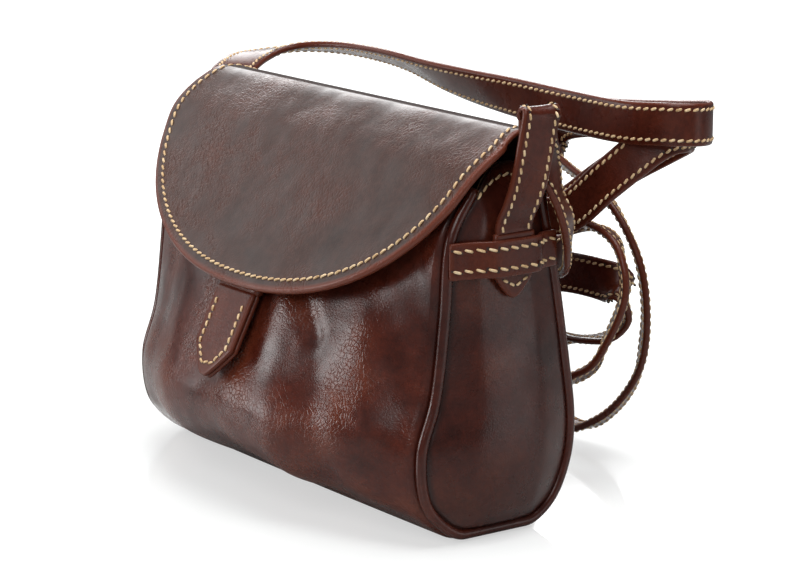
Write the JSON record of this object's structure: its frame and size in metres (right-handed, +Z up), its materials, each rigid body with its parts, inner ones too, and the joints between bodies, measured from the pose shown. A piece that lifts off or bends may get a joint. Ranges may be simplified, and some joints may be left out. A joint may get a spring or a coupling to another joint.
{
  "type": "flap bag",
  "caption": "Small leather shoulder bag with a half-oval flap over a soft body, a pointed closing tab, piped side gussets and a narrow stitched strap.",
  "frame": {"origin": "on the flat base that the bag stands on, half way across, below the middle of the side gussets", "axes": "+X across the bag, +Y towards its back, +Z up; the flap and the closing tab are on the -Y side"},
  "size_m": [0.2771, 0.2044, 0.1819],
  "materials": {
    "body_leather": "glossy",
    "flap_leather": "glossy",
    "strap_leather": "glossy",
    "lining_leather": "matte",
    "snap_steel": "satin"
  },
  "bodies": {
    "bag": {"body_panel": "body_leather", "body_lining": "lining_leather", "left_gusset": "body_leather", "right_gusset": "body_leather", "left_gusset_lining": "lining_leather", "right_gusset_lining": "lining_leather", "left_piping": "flap_leather", "right_piping": "flap_leather", "flap_hinge_strip": "flap_leather", "snap_socket": "snap_steel", "left_side_band": "strap_leather", "right_side_band": "strap_leather", "left_strap_end": "strap_leather", "right_strap_end": "strap_leather", "shoulder_strap": "strap_leather"},
    "flap": {"flap_outer": "flap_leather", "flap_lining": "lining_leather", "closure_tab_root": "strap_leather"},
    "closure_tab": {"closure_tab_face": "strap_leather", "closure_tab_backing": "body_leather", "snap_stud": "snap_steel"}
  },
  "joints": [
    {"name": "flap_hinge", "type": "hinge", "parent": "bag", "child": "flap", "pos_m": [0, 0.03103, 0.14], "axis": [-1, 0, 0], "range_deg": [0, 110]},
    {"name": "closure_tab_hinge", "type": "hinge", "parent": "flap", "child": "closure_tab", "pos_m": [0, -0.05416, 0.09075], "axis": [-1, 0, 0], "range_deg": [0, 60], "stiffness_Nm_per_rad": 0.03}
  ]
}
